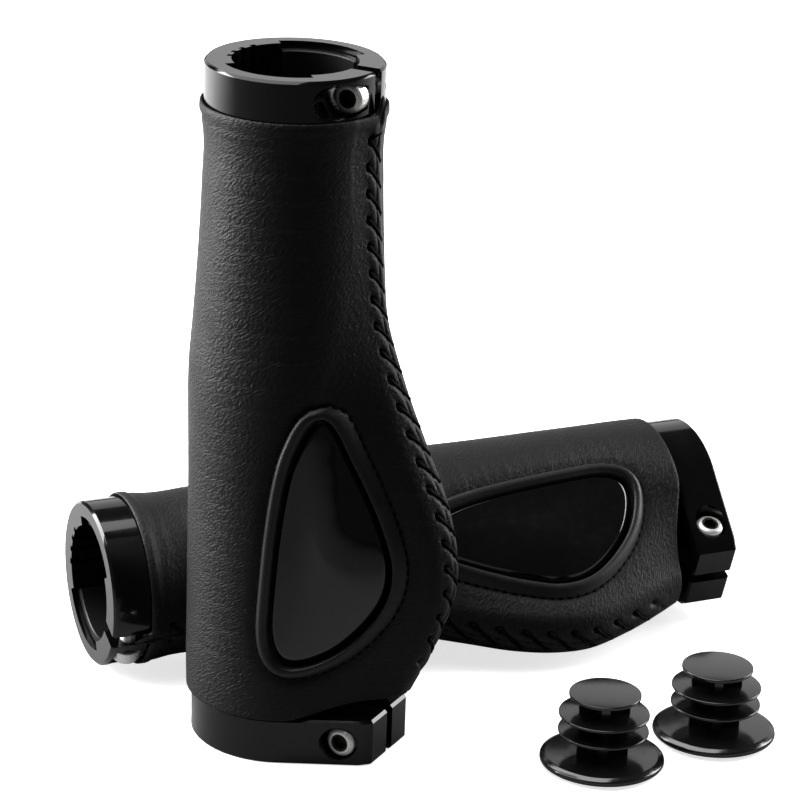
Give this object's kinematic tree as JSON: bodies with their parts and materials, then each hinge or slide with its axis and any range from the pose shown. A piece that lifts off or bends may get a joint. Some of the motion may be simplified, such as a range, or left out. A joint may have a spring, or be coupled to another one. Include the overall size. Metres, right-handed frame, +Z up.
{
  "type": "bicycle bar end grips",
  "caption": "Mirror pair of leather-covered lock-on handlebar grips with a winged palm rest, gloss pad, split clamp rings and push-in bar end plugs.",
  "frame": {"origin": "middle of the set on the surface it stands on", "axes": "+Z up along the standing left grip, from its outboard to its inboard end; +X to the right and +Y to the back as the set is laid out"},
  "size_m": [0.1392, 0.114, 0.13],
  "materials": {
    "leather": "black grained leather, satin",
    "rim_leather": "black rolled leather edge, satin",
    "gel_pad": "glossy black gel skin",
    "rubber_body": "matt moulded rubber",
    "waxed_thread": "black waxed thread",
    "nylon": "black moulded nylon",
    "black_anodised": "gloss black anodised aluminium",
    "bolt_steel": "polished stainless steel",
    "plug_plastic": "semi-gloss moulded black plastic"
  },
  "bodies": {
    "left_base_clamp": {"left_outboard_clamp": "black_anodised"},
    "left_base_bolt": {"left_outboard_bolt": "bolt_steel"},
    "left_grip": {"left_core_tube": "nylon", "left_palm_body": "rubber_body", "left_leather_cover": "leather", "left_palm_pad": "gel_pad", "left_pad_rim": "rim_leather", "left_seam_lacing": "waxed_thread"},
    "left_top_clamp": {"left_inboard_clamp": "black_anodised"},
    "left_top_bolt": {"left_inboard_bolt": "bolt_steel"},
    "right_grip": {"right_core_tube": "nylon", "right_palm_body": "rubber_body", "right_leather_cover": "leather", "right_palm_pad": "gel_pad", "right_pad_rim": "rim_leather", "right_seam_lacing": "waxed_thread"},
    "right_outer_clamp": {"right_outboard_clamp": "black_anodised"},
    "right_outer_bolt": {"right_outboard_bolt": "bolt_steel"},
    "right_inner_clamp": {"right_inboard_clamp": "black_anodised"},
    "right_inner_bolt": {"right_inboard_bolt": "bolt_steel"},
    "left_plug": {"left_plug": "plug_plastic"},
    "right_plug": {"right_plug": "plug_plastic"}
  },
  "joints": [
    {"name": "left_outboard_bolt_turn", "type": "hinge", "parent": "left_base_clamp", "child": "left_base_bolt", "pos_m": [-0.01176, -0.04717, 0.0045], "axis": [-0.4384, -0.8988, 0], "range_deg": [0, 810]},
    {"name": "left_grip_pull", "type": "slide", "parent": "left_base_clamp", "child": "left_grip", "axis": [0, 0, 1], "range_m": [0, 0.02]},
    {"name": "left_inboard_clamp_pull", "type": "slide", "parent": "left_grip", "child": "left_top_clamp", "axis": [0, 0, 1], "range_m": [0, 0.02]},
    {"name": "left_inboard_bolt_turn", "type": "hinge", "parent": "left_top_clamp", "child": "left_top_bolt", "pos_m": [-0.01369, -0.04177, 0.126], "axis": [-0.4384, -0.8988, 0], "range_deg": [0, 810]},
    {"name": "right_grip_lift", "type": "slide", "parent": "left_base_clamp", "child": "right_grip", "axis": [0, 0, 1], "range_m": [0, 0.06]},
    {"name": "right_outboard_clamp_pull", "type": "slide", "parent": "right_grip", "child": "right_outer_clamp", "axis": [0.9197, 0.3923, 0.0143], "range_m": [0, 0.02]},
    {"name": "right_outboard_bolt_turn", "type": "hinge", "parent": "right_outer_clamp", "child": "right_outer_bolt", "pos_m": [0.05945, 0.02236, 0.01934], "axis": [0.1296, -0.3379, 0.9322], "range_deg": [0, 810]},
    {"name": "right_inboard_clamp_pull", "type": "slide", "parent": "right_grip", "child": "right_inner_clamp", "axis": [-0.9197, -0.3923, -0.0143], "range_m": [0, 0.02]},
    {"name": "right_inboard_bolt_turn", "type": "hinge", "parent": "right_inner_clamp", "child": "right_inner_bolt", "pos_m": [-0.05529, -0.01794, 0.00845], "axis": [-0.1296, 0.3379, -0.9322], "range_deg": [0, 810]},
    {"name": "left_plug_lift", "type": "slide", "parent": "left_base_clamp", "child": "left_plug", "axis": [0, 0, 1], "range_m": [0, 0.05]},
    {"name": "right_plug_lift", "type": "slide", "parent": "left_base_clamp", "child": "right_plug", "axis": [0, 0, 1], "range_m": [0, 0.05]}
  ]
}
